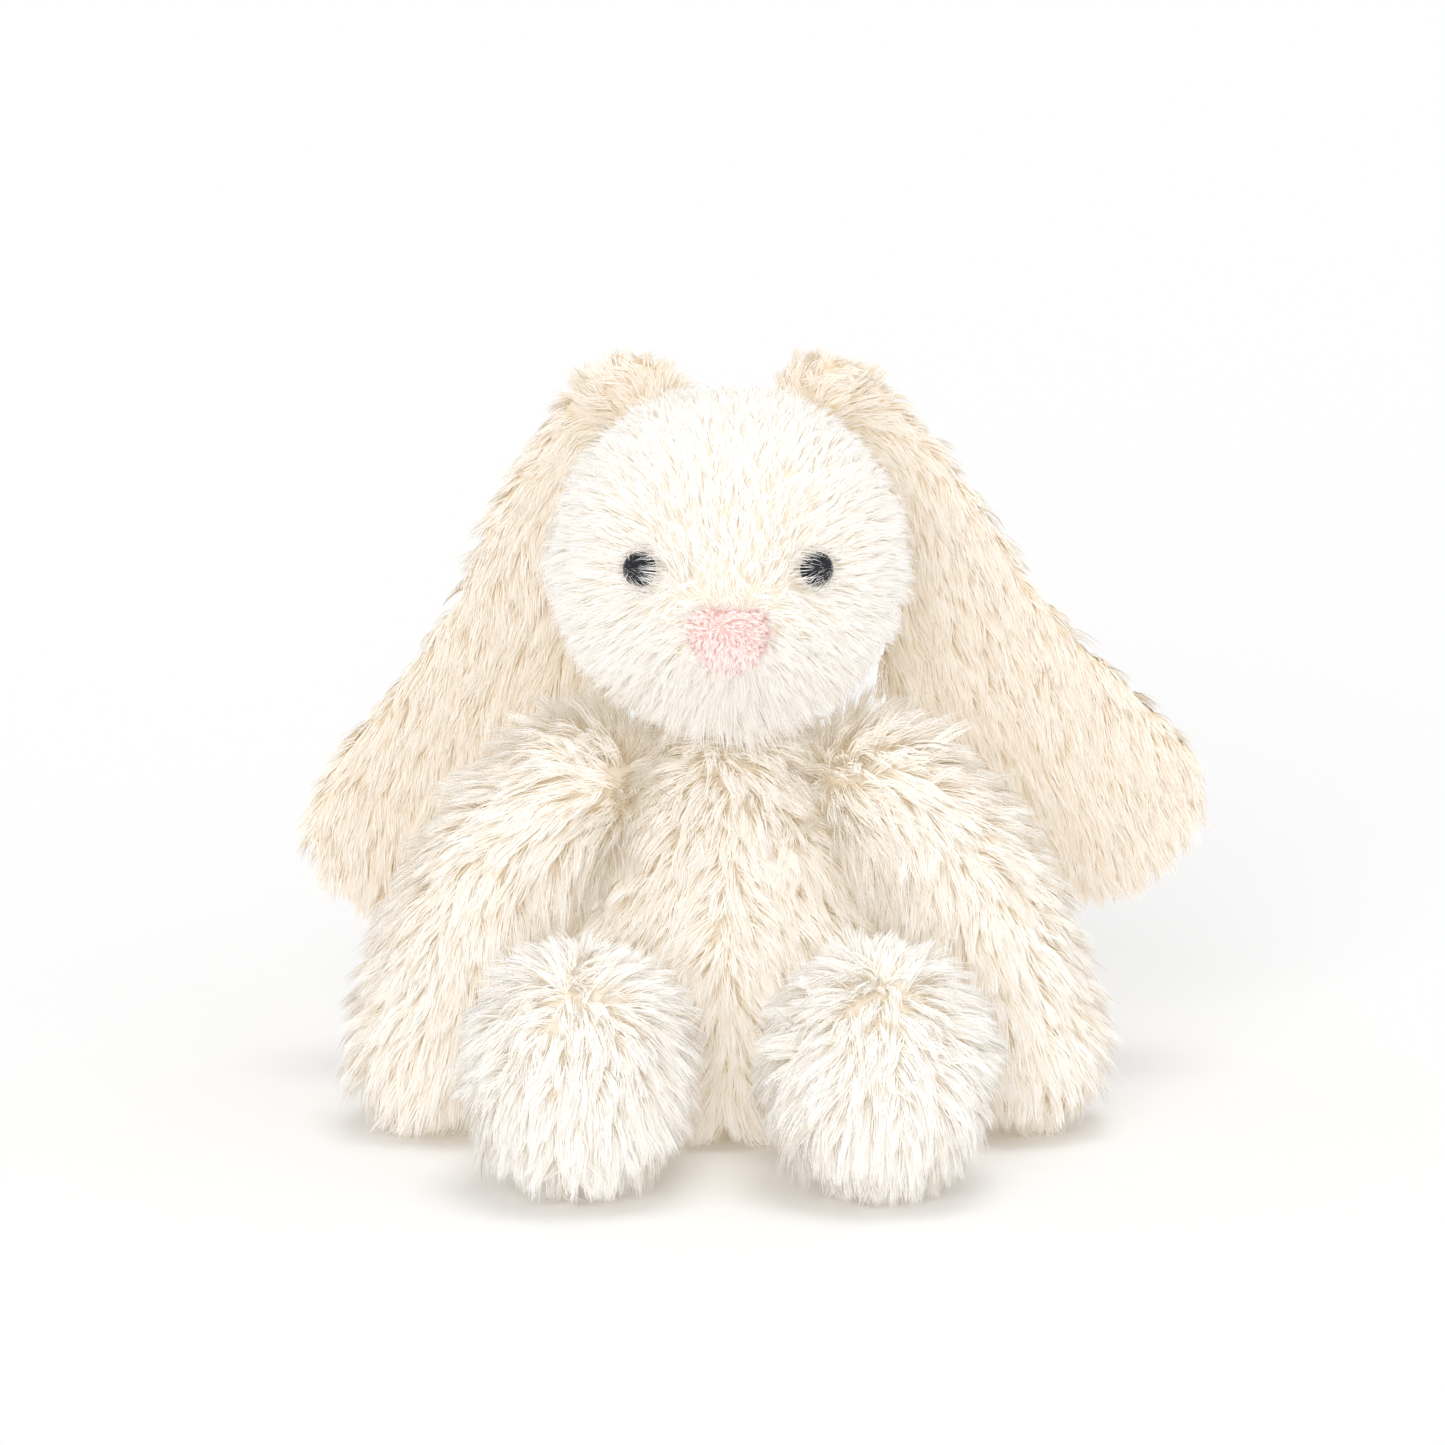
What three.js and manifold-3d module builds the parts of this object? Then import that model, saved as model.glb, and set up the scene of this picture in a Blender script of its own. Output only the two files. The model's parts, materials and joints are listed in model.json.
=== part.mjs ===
// A sitting plush rabbit with long drooping ears, in millimetres: +Z up, the face towards -Y, its own left
// at +X. The origin is on the surface that it sits on, under the middle of its box.
import * as THREE from "three";
import { ConvexGeometry } from "three/addons/geometries/ConvexGeometry.js";
import { mergeVertices } from "three/addons/utils/BufferGeometryUtils.js";
import Module from "manifold-3d";

const wasm = await Module();
wasm.setup();

// ---- Driving dimensions ----

const SEAM_GAP = 0.3; // between two panels sewn edge to edge
const CLOTH = 3.6; // the fur cloth: its backing and the pile pressed against it
const JOINT_ROOM = 1.2; // between a limb and the body that it swings against
const FAR = 400; // the size of a cutter that reaches past everything
const SEAM_REACH = 50; // how far a limb's seam is drawn out past the limb's ends

// A head is a rounded egg: wider in the cheeks than at the crown, with a low muzzle.
const HEAD = { centre: [0, -1, 137], radii: [42, 38.5, 39.5], cheeks: 0.06, roundness: 0.05 };
const MUZZLE = { towards: [0, -1, -0.28], height: 9, spread: 0.42 };
const GUSSET = { nose: 9, brow: 21, crown: 24, nape: 8, lowest: 122 }; // half widths, front to back

const EYE = { across: 20, height: 140.4, radius: 4.2, dome: 3.4, shankRadius: 1.7, shankLength: 9 };
const EYE_WASHER = { radius: 6, thickness: 1.2, setBack: 5 };
const NOSE = { width: 19, height: 15, centreHeight: 127, thickness: 2.2, overCentre: 0.42 };

const TORSO = { depthRatio: 0.86, shiftBack: 2, seatRadius: 27 };
// Radius and height of the torso's side, from the seat to the neck.
const TORSO_PROFILE = [
  [37, 6],
  [41.5, 22],
  [39, 43],
  [32.5, 64],
  [24, 82],
  [12.5, 94],
];
const NECK = { height: 98, openingRadius: 9 };

// An ear hangs from the crown: its middle line across, down, and its half width.
const EAR_LINE = [
  [0, 0, 15],
  [5, 14, 10.5],
  [6, 27, 10],
  [2.5, 41, 13],
  [-3.5, 55, 17.5],
  [-9, 76, 22],
  [-11, 97, 23.5],
  [-10.5, 117, 21.5],
];
const EAR = { pivot: [24, 23, 165], halfThickness: 4.3, cup: 3, setBack: 25, drift: 0.5 };
const EAR_HANG = { left: 37, right: 29.5 }; // degrees out from straight down

// A limb's middle line, and its half width and half height at each end and between.
const ARM = {
  line: [[34, -8, 82], [58, -10, 57], [69.5, -10, 21.5]],
  across: [14.5, 18.5, 19.5],
  through: [14, 17.5, 19],
};
const LEG = {
  line: [[25, -23, 21.5], [31, -46, 24.5], [35, -71, 30.5]],
  across: [16, 20, 25.5],
  through: [16, 21, 29],
};
// Degrees that a limb turns from rest, for the room it needs in the torso.
const LEG_SWING = [-30, 0, 25];
const ARM_SWING = [0, 30, 60];

const TAIL = { centre: [0, 44, 25], radius: 14 };
const POUCH = { centre: [0, 15, 17], radii: [28, 16, 10.5], cloth: 0.8, mouthRadius: 3 };

// How finely the surfaces are divided: around, then along or over the cap.
const BUILD_STEPS = {
  head: [26, 16],
  torso: [26, 12],
  limb: [14, 4, 6],
  ear: [12, 4, 9],
  sheet: [8, 14],
  room: [12, 8],
  small: 12,
};

const UP = new THREE.Vector3(0, 0, 1);
const AHEAD = new THREE.Vector3(0, -1, 0);
const BACK = new THREE.Vector3(0, 1, 0);
const ASIDE = new THREE.Vector3(1, 0, 0);

// ---- Materials ----

const cloth = (name, color, roughness = 0.95) => {
  const material = new THREE.MeshStandardMaterial({ color, roughness, metalness: 0 });
  material.name = name;
  return material;
};
const CREAM_FUR = cloth("cream_fur", 0xf6ecde);
const PINK_VELVET = cloth("pink_velvet", 0xf6dcd8, 0.85);
const BLACK_BEAD = cloth("black_bead", 0x15171a, 0.12);
const WHITE_PLASTIC = cloth("white_plastic", 0xe9e7e0, 0.5);
const FIBRE_FILL = cloth("fibre_fill", 0xfafaf6, 1);
const POUCH_CLOTH = cloth("pouch_cloth", 0xe8e2d4, 0.9);
const PELLET_PLASTIC = cloth("pellet_plastic", 0xf2f1ea, 0.4);

// ---- Solids: closed geometries in, closed geometries out ----

function solid(geometry) {
  const bare = geometry.clone();
  bare.deleteAttribute("normal");
  bare.deleteAttribute("uv");
  const merged = mergeVertices(bare, 1e-4);
  return new wasm.Manifold(
    new wasm.Mesh({
      numProp: 3,
      vertProperties: new Float32Array(merged.attributes.position.array),
      triVerts: new Uint32Array(merged.index.array),
    }),
  );
}

function geometryOf(body) {
  const mesh = body.getMesh();
  const geometry = new THREE.BufferGeometry();
  geometry.setAttribute("position", new THREE.BufferAttribute(mesh.vertProperties, 3));
  geometry.setIndex(new THREE.BufferAttribute(mesh.triVerts, 1));
  geometry.computeVertexNormals();
  return geometry;
}

// Moves every vertex of a geometry by a function of its place.
function reshape(geometry, move) {
  const place = geometry.attributes.position;
  const point = new THREE.Vector3();
  for (let i = 0; i < place.count; i += 1) {
    point.fromBufferAttribute(place, i);
    const moved = move(point);
    place.setXYZ(i, moved.x, moved.y, moved.z);
  }
  return geometry;
}

function box(low, high) {
  const size = high.map((value, i) => value - low[i]);
  const geometry = new THREE.BoxGeometry(...size);
  geometry.translate(...low.map((value, i) => value + size[i] / 2));
  return solid(geometry);
}

// A cylinder from one point along a direction.
function rod(radius, length, start, direction, steps = BUILD_STEPS.small) {
  const geometry = new THREE.CylinderGeometry(radius, radius, length, steps);
  geometry.translate(0, length / 2, 0);
  const turn = new THREE.Quaternion().setFromUnitVectors(new THREE.Vector3(0, 1, 0), direction);
  geometry.applyQuaternion(turn);
  geometry.translate(start.x, start.y, start.z);
  return solid(geometry);
}

function ellipsoid(centre, radii, steps = BUILD_STEPS.small) {
  const geometry = new THREE.SphereGeometry(1, steps, Math.round(steps * 0.7));
  geometry.rotateX(Math.PI / 2);
  geometry.scale(...radii);
  geometry.translate(...centre);
  return solid(geometry);
}

// The same body with its sides moved in by a distance, or out when the distance is negative.
function inset(body, distance) {
  const { min, max } = body.boundingBox();
  const middle = min.map((value, i) => (value + max[i]) / 2);
  const factors = min.map((value, i) => 1 - (2 * distance) / (max[i] - value));
  return body
    .translate(middle.map((value) => -value))
    .scale(factors)
    .translate(middle);
}

const leftOf = (x) => box([x, -FAR, -FAR], [FAR, FAR, FAR]);
const rightOf = (x) => box([-FAR, -FAR, -FAR], [x, FAR, FAR]);
const inFrontOf = (y) => box([-FAR, -FAR, -FAR], [FAR, y, FAR]);
const behind = (y) => box([-FAR, y, -FAR], [FAR, FAR, FAR]);
const mirrored = (body) => body.mirror([1, 0, 0]);

function turned(body, pivot, axis, degrees) {
  const rotation = [0, 0, 0];
  rotation[axis] = degrees;
  return body
    .translate(pivot.map((value) => -value))
    .rotate(rotation)
    .translate(pivot);
}

const cutBy = (body, cutters) => cutters.reduce((rest, cutter) => rest.subtract(cutter), body);

// A value that runs smoothly through a list of values as t goes from 0 to 1.
function smoothThrough(values, t) {
  const curve = new THREE.SplineCurve(values.map((value, i) => new THREE.Vector2(i, value)));
  return curve.getPoint(t).y;
}

// A round-ended limb along a curve. Its half widths follow t from 0 to 1; side is the direction of "across".
function limb({ curve, across, through, side, steps = BUILD_STEPS.limb }) {
  const [around, cap, along] = steps;
  const half = 1;
  const geometry = new THREE.CapsuleGeometry(1, 2 * half, cap, around, along);
  const place = new THREE.Vector3();
  const tangent = new THREE.Vector3();
  const other = new THREE.Vector3();
  const sideways = new THREE.Vector3();
  return reshape(geometry, (point) => {
    const t = (THREE.MathUtils.clamp(point.y, -half, half) + half) / (2 * half);
    const past = point.y - THREE.MathUtils.clamp(point.y, -half, half);
    curve.getPoint(t, place);
    curve.getTangent(t, tangent);
    other.crossVectors(side, tangent).normalize();
    sideways.crossVectors(tangent, other);
    return place
      .clone()
      .addScaledVector(sideways, point.x * across(t))
      .addScaledVector(other, point.z * through(t))
      .addScaledVector(tangent, past * across(t));
  });
}

const vectors = (points) => points.map((point) => new THREE.Vector3(...point));
const curveThrough = (points) => new THREE.CatmullRomCurve3(vectors(points));

// ---- Head ----

// The head's surface in a direction from its centre: an egg with a bulge for the muzzle.
const muzzleDirection = new THREE.Vector3(...MUZZLE.towards).normalize();

function onHead(direction) {
  const { centre, radii, cheeks, roundness } = HEAD;
  const wide = 1 - cheeks * direction.z + roundness * direction.z ** 2;
  const point = new THREE.Vector3(
    direction.x * radii[0] * wide,
    direction.y * radii[1] * (1 + (wide - 1) / 3),
    direction.z * radii[2],
  );
  const bulge = MUZZLE.height * Math.exp(-((direction.angleTo(muzzleDirection) / MUZZLE.spread) ** 2));
  point.addScaledVector(muzzleDirection, bulge);
  return point.add(new THREE.Vector3(...centre));
}

function headBody() {
  const geometry = new THREE.SphereGeometry(1, ...BUILD_STEPS.head);
  geometry.rotateX(Math.PI / 2);
  return solid(reshape(geometry, onHead));
}

// The strip over the head from the nose to the nape, seen from above.
function gussetPrism(extra) {
  const { centre, radii } = HEAD;
  const front = centre[1] - radii[1] - MUZZLE.height;
  const back = centre[1] + radii[1];
  const stations = [GUSSET.nose, GUSSET.brow, GUSSET.crown, GUSSET.nape].map((half, i, all) => [
    half + extra,
    front + ((back - front) * i) / (all.length - 1),
  ]);
  stations[0][1] -= CLOTH;
  stations.at(-1)[1] += CLOTH;
  const edge = new THREE.SplineCurve(stations.map(([x, y]) => new THREE.Vector2(x, y))).getPoints(12);
  const outline = [...edge, ...edge.map((point) => new THREE.Vector2(-point.x, point.y)).reverse()];
  const geometry = new THREE.ExtrudeGeometry(new THREE.Shape(outline), { depth: FAR, bevelEnabled: false });
  geometry.translate(0, 0, GUSSET.lowest - extra);
  return solid(geometry);
}

// The direction in which the head's surface has a chosen x and z, on the face.
function faceDirection(x, z) {
  const { centre, radii, cheeks, roundness } = HEAD;
  const up = (z - centre[2]) / radii[2];
  const wide = 1 - cheeks * up + roundness * up ** 2;
  const aside = x / (radii[0] * wide);
  return new THREE.Vector3(aside, -Math.sqrt(1 - up ** 2 - aside ** 2), up);
}

function eyePlacement() {
  const direction = faceDirection(EYE.across, EYE.height);
  const seat = onHead(direction);
  const step = 0.02;
  const beside = onHead(direction.clone().add(new THREE.Vector3(step, 0, 0)).normalize());
  const above = onHead(direction.clone().add(new THREE.Vector3(0, 0, step)).normalize());
  const outward = beside.sub(seat).cross(above.sub(seat)).normalize();
  if (outward.y > 0) outward.negate();
  return { seat, outward };
}

// A safety eye: a glossy dome on a shank, seen here at the rabbit's left.
function eyeBody({ seat, outward }) {
  const front = new THREE.EllipseCurve(0, 0, EYE.radius, EYE.dome, 0, Math.PI / 2).getPoints(6);
  const profile = [
    new THREE.Vector2(0, -EYE.shankLength),
    new THREE.Vector2(EYE.shankRadius, -EYE.shankLength),
    new THREE.Vector2(EYE.shankRadius, 0),
    ...front,
  ];
  profile.at(-1).x = 0;
  const geometry = new THREE.LatheGeometry(profile, BUILD_STEPS.small);
  const turn = new THREE.Quaternion().setFromUnitVectors(new THREE.Vector3(0, 1, 0), outward);
  geometry.applyQuaternion(turn);
  const base = seat.clone().addScaledVector(outward, 2 * SEAM_GAP);
  geometry.translate(base.x, base.y, base.z);
  return solid(geometry);
}

function washerBody({ seat, outward }) {
  const inward = outward.clone().negate();
  const start = seat.clone().addScaledVector(inward, EYE_WASHER.setBack);
  const disc = rod(EYE_WASHER.radius, EYE_WASHER.thickness, start, inward);
  const bore = rod(EYE.shankRadius + SEAM_GAP, FAR, seat, inward);
  return disc.subtract(bore);
}

// The shield-shaped nose patch lies on the tip of the muzzle.
function nosePatch(head) {
  const half = NOSE.width / 2;
  const top = NOSE.height * NOSE.overCentre;
  const bottom = top - NOSE.height;
  // Half of the outline from the middle of the top edge round to the point at the bottom.
  const rightHalf = [
    [0, top],
    [0.6 * half, 0.98 * top],
    [0.92 * half, 0.72 * top],
    [half, 0.2 * top],
    [0.86 * half, 0.32 * bottom],
    [0.55 * half, 0.78 * bottom],
    [0, bottom],
  ];
  const leftHalf = rightHalf.slice(1, -1).map(([x, y]) => [-x, y]);
  const round = [...rightHalf, ...leftHalf.reverse()].map((point) => new THREE.Vector2(...point));
  const shield = new THREE.Shape(new THREE.SplineCurve([...round, round[0]]).getPoints(20));
  const prism = new THREE.ExtrudeGeometry(shield, { depth: FAR, bevelEnabled: false });
  prism.rotateX(Math.PI / 2);
  prism.translate(0, HEAD.centre[1], NOSE.centreHeight);
  const layer = inset(head, -SEAM_GAP - NOSE.thickness).subtract(inset(head, -SEAM_GAP));
  return layer.intersect(solid(prism));
}

// ---- Ears ----

// The sheet that an ear's two panels share: it drifts back as it hangs, and its edges curl forward.
function earSheet(across, down) {
  const length = EAR_LINE.at(-1)[1] + EAR_LINE.at(-1)[2];
  const line = curveThrough(EAR_LINE);
  const t = THREE.MathUtils.clamp(down / EAR_LINE.at(-1)[1], 0, 1);
  const widest = Math.max(...EAR_LINE.map((station) => station[2]));
  const aside = (across - line.getPoint(t).x) / widest;
  const back = EAR.setBack * Math.max(down / length, 0) ** EAR.drift;
  return back - EAR.cup * aside ** 2;
}

function earBody() {
  const line = curveThrough(EAR_LINE);
  const flat = curveThrough(EAR_LINE.map(([across, down]) => [across, 0, -down]));
  const geometry = limb({
    curve: flat,
    across: (t) => line.getPoint(t).z,
    through: () => EAR.halfThickness,
    side: new THREE.Vector3(-1, 0, 0),
    steps: BUILD_STEPS.ear,
  });
  return solid(reshape(geometry, ({ x, y, z }) => new THREE.Vector3(x, y + earSheet(x, -z), z)));
}

// Everything in front of the shared sheet, which is moved back by a distance, as far as an ear reaches.
function inFrontOfSheet(distance) {
  const [across, down] = BUILD_STEPS.sheet;
  const length = EAR_LINE.at(-1)[1];
  const size = 2 * length;
  const geometry = new THREE.BoxGeometry(size, size, size, across, 1, down);
  geometry.translate(0, -size / 2, -(2 / 3) * length);
  return solid(
    reshape(geometry, ({ x, y, z }) => {
      const onSheet = y > -size / 2;
      return new THREE.Vector3(x, onSheet ? earSheet(x, -z) + distance : y, z);
    }),
  );
}

function hungEar(body, hang) {
  return turned(body, [0, 0, 0], 1, -hang).translate(EAR.pivot);
}

// The slot in the head that an ear's round root turns in.
function earSlot() {
  const [x, y, z] = EAR.pivot;
  const half = EAR.halfThickness + JOINT_ROOM / 2;
  const start = new THREE.Vector3(x, y - half, z);
  return rod(EAR_LINE[0][2] + JOINT_ROOM, 2 * half + JOINT_ROOM, start, BACK, 2 * BUILD_STEPS.small);
}

// ---- Limbs ----

function limbBody(shape, side, distance) {
  const geometry = limb({
    curve: curveThrough(shape.line),
    across: (t) => smoothThrough(shape.across, t) - distance,
    through: (t) => smoothThrough(shape.through, t) - distance,
    side,
  });
  return solid(geometry);
}

// A limb's seam as it is seen along its panels: its middle line, drawn out straight past both ends.
function seamLine(points) {
  const start = points[0].clone().sub(points[1]).setLength(SEAM_REACH).add(points[0]);
  const end = points.at(-1).clone().sub(points.at(-2)).setLength(SEAM_REACH).add(points.at(-1));
  return [start, ...points, end];
}

// Everything on the inner side of a seam, as a tall prism.
function innerSideOf(seam, gap) {
  const edge = seam.map((point) => new THREE.Vector2(point.x - gap, point.y));
  const outline = [...edge, new THREE.Vector2(-FAR, edge.at(-1).y), new THREE.Vector2(-FAR, edge[0].y)];
  const geometry = new THREE.ExtrudeGeometry(new THREE.Shape(outline), { depth: FAR, bevelEnabled: false });
  return geometry.translate(0, 0, -FAR / 2);
}

// The side of an arm that faces the torso.
function armInnerHalf(gap) {
  const line = curveThrough(ARM.line).getPoints(BUILD_STEPS.small);
  const seam = seamLine(line.map((point) => new THREE.Vector2(point.x, point.z)));
  return solid(innerSideOf(seam, gap).rotateX(Math.PI / 2));
}

// The side of a leg that faces the other leg.
function legInnerHalf(gap) {
  const seam = seamLine(LEG.line.map(([x, y]) => new THREE.Vector2(x, y)));
  return solid(innerSideOf(seam, gap));
}

function armPieces() {
  const outer = limbBody(ARM, AHEAD, 0);
  const shell = outer.subtract(limbBody(ARM, AHEAD, CLOTH));
  return {
    inner: shell.intersect(armInnerHalf(SEAM_GAP)),
    outer: shell.subtract(armInnerHalf(0)),
    stuffing: limbBody(ARM, AHEAD, CLOTH + SEAM_GAP),
  };
}

function legPieces() {
  const shell = limbBody(LEG, ASIDE, 0).subtract(limbBody(LEG, ASIDE, CLOTH));
  return {
    inner: shell.intersect(legInnerHalf(SEAM_GAP)),
    outer: shell.subtract(legInnerHalf(0)),
    stuffing: limbBody(LEG, ASIDE, CLOTH + SEAM_GAP),
  };
}

// ---- Torso and tail ----

function torsoBody() {
  const side = new THREE.SplineCurve([
    new THREE.Vector2(TORSO.seatRadius, 0),
    ...TORSO_PROFILE.map(([radius, height]) => new THREE.Vector2(radius, height)),
    new THREE.Vector2(0, NECK.height - JOINT_ROOM),
  ]);
  const [around, up] = BUILD_STEPS.torso;
  const origin = new THREE.Vector2(0, 0);
  const points = side.getPoints(up).map((point) => point.max(origin));
  points.at(-1).x = 0;
  const geometry = new THREE.LatheGeometry([origin, ...points], around);
  geometry.rotateX(Math.PI / 2);
  geometry.scale(1, TORSO.depthRatio, 1);
  geometry.translate(0, TORSO.shiftBack, 0);
  return solid(geometry);
}

// The room that a limb's root sweeps through: the hull of its first half at each angle.
function sweptRoom({ line, across, through }, axis, swing) {
  const points = [];
  const [root, middle] = line.map((point) => new THREE.Vector3(...point));
  const ball = (centre, i) => {
    const radius = Math.max(across[i], through[i]) + JOINT_ROOM;
    const geometry = new THREE.SphereGeometry(radius, ...BUILD_STEPS.room);
    geometry.translate(centre.x, centre.y, centre.z);
    return new Array(geometry.attributes.position.count)
      .fill()
      .map((_, n) => new THREE.Vector3().fromBufferAttribute(geometry.attributes.position, n));
  };
  points.push(...ball(root, 0));
  for (const degrees of swing) {
    const turn = new THREE.Quaternion().setFromAxisAngle(axis, THREE.MathUtils.degToRad(-degrees));
    points.push(...ball(middle.clone().sub(root).applyQuaternion(turn).add(root), 1));
  }
  return solid(new ConvexGeometry(points));
}

function limbRooms() {
  const legRoom = sweptRoom(LEG, ASIDE, LEG_SWING);
  const armRoom = sweptRoom(ARM, BACK, ARM_SWING);
  return [legRoom, mirrored(legRoom), armRoom, mirrored(armRoom)];
}

function tailPieces(torso) {
  const keepOff = inset(torso, -SEAM_GAP);
  const [x, y, z] = TAIL.centre;
  const ball = (radius) => ellipsoid([x, y, z], [radius, radius, radius], BUILD_STEPS.small + 2);
  const core = ball(TAIL.radius - CLOTH - SEAM_GAP);
  return {
    cover: ball(TAIL.radius).subtract(ball(TAIL.radius - CLOTH)).subtract(keepOff),
    stuffing: core.subtract(keepOff),
  };
}

// ---- The rabbit ----

const rabbit = new THREE.Group();
rabbit.name = "plush_rabbit";

function add(name, body, material) {
  const mesh = new THREE.Mesh(geometryOf(body), material);
  mesh.name = name;
  rabbit.add(mesh);
}

// Adds a piece that lies at the rabbit's left and its twin at the right.
function addPair(name, body, material) {
  add(`${name}_left`, body, material);
  add(`${name}_right`, mirrored(body), material);
}

function addHead() {
  const head = headBody();
  const eye = eyePlacement();
  const inward = eye.outward.clone().negate();
  const inFrontOfEye = eye.seat.clone().addScaledVector(eye.outward, EYE.radius / 2);
  const eyeHole = rod(EYE.shankRadius + SEAM_GAP, 2 * EYE.shankLength, inFrontOfEye, inward);
  const washerRoom = rod(EYE_WASHER.radius + SEAM_GAP, EYE.shankLength + JOINT_ROOM, eye.seat, inward);
  const slot = earSlot();
  const both = (body) => [body, mirrored(body)];
  const underNeck = new THREE.Vector3(0, 0, NECK.height - CLOTH);
  const neckHole = rod(NECK.openingRadius, 4 * CLOTH, underNeck, UP);
  const shell = cutBy(head.subtract(inset(head, CLOTH)), [...both(slot), ...both(eyeHole), neckHole]);
  const sides = shell.subtract(gussetPrism(SEAM_GAP));
  add("head_gusset", shell.intersect(gussetPrism(0)), CREAM_FUR);
  add("head_side_left", sides.intersect(leftOf(SEAM_GAP / 2)), CREAM_FUR);
  add("head_side_right", sides.intersect(rightOf(-SEAM_GAP / 2)), CREAM_FUR);
  const filling = inset(head, CLOTH + SEAM_GAP);
  add("head_stuffing", cutBy(filling, [...both(slot), ...both(washerRoom)]), FIBRE_FILL);
  add("nose_patch", nosePatch(head), PINK_VELVET);
  addPair("eye", eyeBody(eye), BLACK_BEAD);
  addPair("eye_washer", washerBody(eye), WHITE_PLASTIC);
}

function addEars() {
  const ear = earBody();
  const front = ear.intersect(inFrontOfSheet(-SEAM_GAP / 2));
  const back = ear.subtract(inFrontOfSheet(SEAM_GAP / 2));
  for (const side of ["left", "right"]) {
    const place = (body) => {
      const hung = hungEar(body, EAR_HANG[side]);
      return side === "left" ? hung : mirrored(hung);
    };
    add(`ear_front_${side}`, place(front), CREAM_FUR);
    add(`ear_back_${side}`, place(back), CREAM_FUR);
  }
}

function addTorso() {
  const torso = torsoBody();
  const room = limbRooms();
  const insideNeck = new THREE.Vector3(0, 0, NECK.height - 3 * CLOTH);
  const neckHole = rod(NECK.openingRadius, 4 * CLOTH, insideNeck, UP);
  const shell = cutBy(torso.subtract(inset(torso, CLOTH)), [...room, neckHole]);
  const halves = { left: leftOf(SEAM_GAP / 2), right: rightOf(-SEAM_GAP / 2) };
  const sideSeam = TORSO.shiftBack;
  for (const [side, half] of Object.entries(halves)) {
    const part = shell.intersect(half);
    add(`torso_front_${side}`, part.intersect(inFrontOf(sideSeam - SEAM_GAP / 2)), CREAM_FUR);
    add(`torso_back_${side}`, part.intersect(behind(sideSeam + SEAM_GAP / 2)), CREAM_FUR);
  }
  addPouch(torso, room);
  const tail = tailPieces(torso);
  add("tail_cover", tail.cover, CREAM_FUR);
  add("tail_stuffing", tail.stuffing, FIBRE_FILL);
}

// The pouch of plastic pellets that weighs down the seat, under the torso's stuffing.
function addPouch(torso, room) {
  const { centre, radii, cloth: skin, mouthRadius } = POUCH;
  const core = inset(torso, CLOTH + SEAM_GAP);
  const grown = (extra) => ellipsoid(centre, radii.map((radius) => radius + extra), BUILD_STEPS.small + 2);
  const well = box([-FAR, centre[1] - radii[1] - SEAM_GAP, -FAR], [FAR, FAR, centre[2]]);
  const mouth = rod(mouthRadius, radii[1] * 2, new THREE.Vector3(...centre), BACK);
  add("torso_stuffing", cutBy(core, [grown(SEAM_GAP), well, ...room]), FIBRE_FILL);
  add("pellet_pouch", grown(0).subtract(grown(-skin)).subtract(mouth).intersect(core), POUCH_CLOTH);
  add("pellets", grown(-skin - SEAM_GAP).intersect(core), PELLET_PLASTIC);
}

function addLimbs() {
  const arm = armPieces();
  const leg = legPieces();
  for (const [name, pieces] of Object.entries({ arm, leg })) {
    addPair(`${name}_inner`, pieces.inner, CREAM_FUR);
    addPair(`${name}_outer`, pieces.outer, CREAM_FUR);
    addPair(`${name}_stuffing`, pieces.stuffing, FIBRE_FILL);
  }
}

addHead();
addEars();
addTorso();
addLimbs();

const middle = new THREE.Box3().setFromObject(rabbit).getCenter(new THREE.Vector3());
rabbit.position.set(-middle.x, -middle.y, 0);

export default rabbit;
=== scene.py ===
"""A sitting plush rabbit in long cream fur.

Lengths are in metres and +Z is up. The face looks towards -Y and the rabbit's own left is at +X. Each cloth
panel of the frame becomes a piece of its own: a smooth backing skin with locks of pile rooted in it.
"""

import json
import math
from collections.abc import Callable
from dataclasses import dataclass

import bmesh
import bpy
import numpy as np
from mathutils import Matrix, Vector
from mathutils.bvhtree import BVHTree


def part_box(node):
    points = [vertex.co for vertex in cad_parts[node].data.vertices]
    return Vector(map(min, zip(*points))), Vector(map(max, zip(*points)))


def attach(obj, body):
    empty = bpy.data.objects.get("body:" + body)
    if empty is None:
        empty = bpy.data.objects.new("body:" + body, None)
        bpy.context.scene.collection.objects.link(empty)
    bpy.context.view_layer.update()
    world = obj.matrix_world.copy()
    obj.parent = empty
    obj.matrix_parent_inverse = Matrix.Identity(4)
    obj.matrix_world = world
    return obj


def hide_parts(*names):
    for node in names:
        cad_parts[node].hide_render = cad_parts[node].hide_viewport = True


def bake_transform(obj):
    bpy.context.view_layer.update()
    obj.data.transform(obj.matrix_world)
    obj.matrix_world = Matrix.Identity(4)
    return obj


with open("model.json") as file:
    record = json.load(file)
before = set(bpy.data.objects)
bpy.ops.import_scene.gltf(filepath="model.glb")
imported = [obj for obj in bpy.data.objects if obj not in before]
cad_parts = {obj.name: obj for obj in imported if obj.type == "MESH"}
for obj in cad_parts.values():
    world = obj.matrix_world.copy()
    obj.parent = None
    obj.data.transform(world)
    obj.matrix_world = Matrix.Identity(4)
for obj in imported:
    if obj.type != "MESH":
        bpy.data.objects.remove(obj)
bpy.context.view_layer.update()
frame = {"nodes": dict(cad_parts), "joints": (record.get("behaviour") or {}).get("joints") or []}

MM = 0.001
RNG = np.random.default_rng(20240611)
SIDES = {"left": 1, "right": -1}  # the sign of X on each of the rabbit's sides
DOWN = np.array([0.0, 0.0, -1.0])


def link(name, data):
    """A new object in the scene, with this mesh, camera or lamp."""
    obj = bpy.data.objects.new(name, data)
    bpy.context.scene.collection.objects.link(obj)
    return obj


def joint_place(name):
    """Where a joint's axis passes, from the frame."""
    return np.array(next(joint for joint in frame["joints"] if joint["name"] == name)["pos_m"])


NECK = joint_place("head_tilt")

# ---- Camera ----

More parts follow.
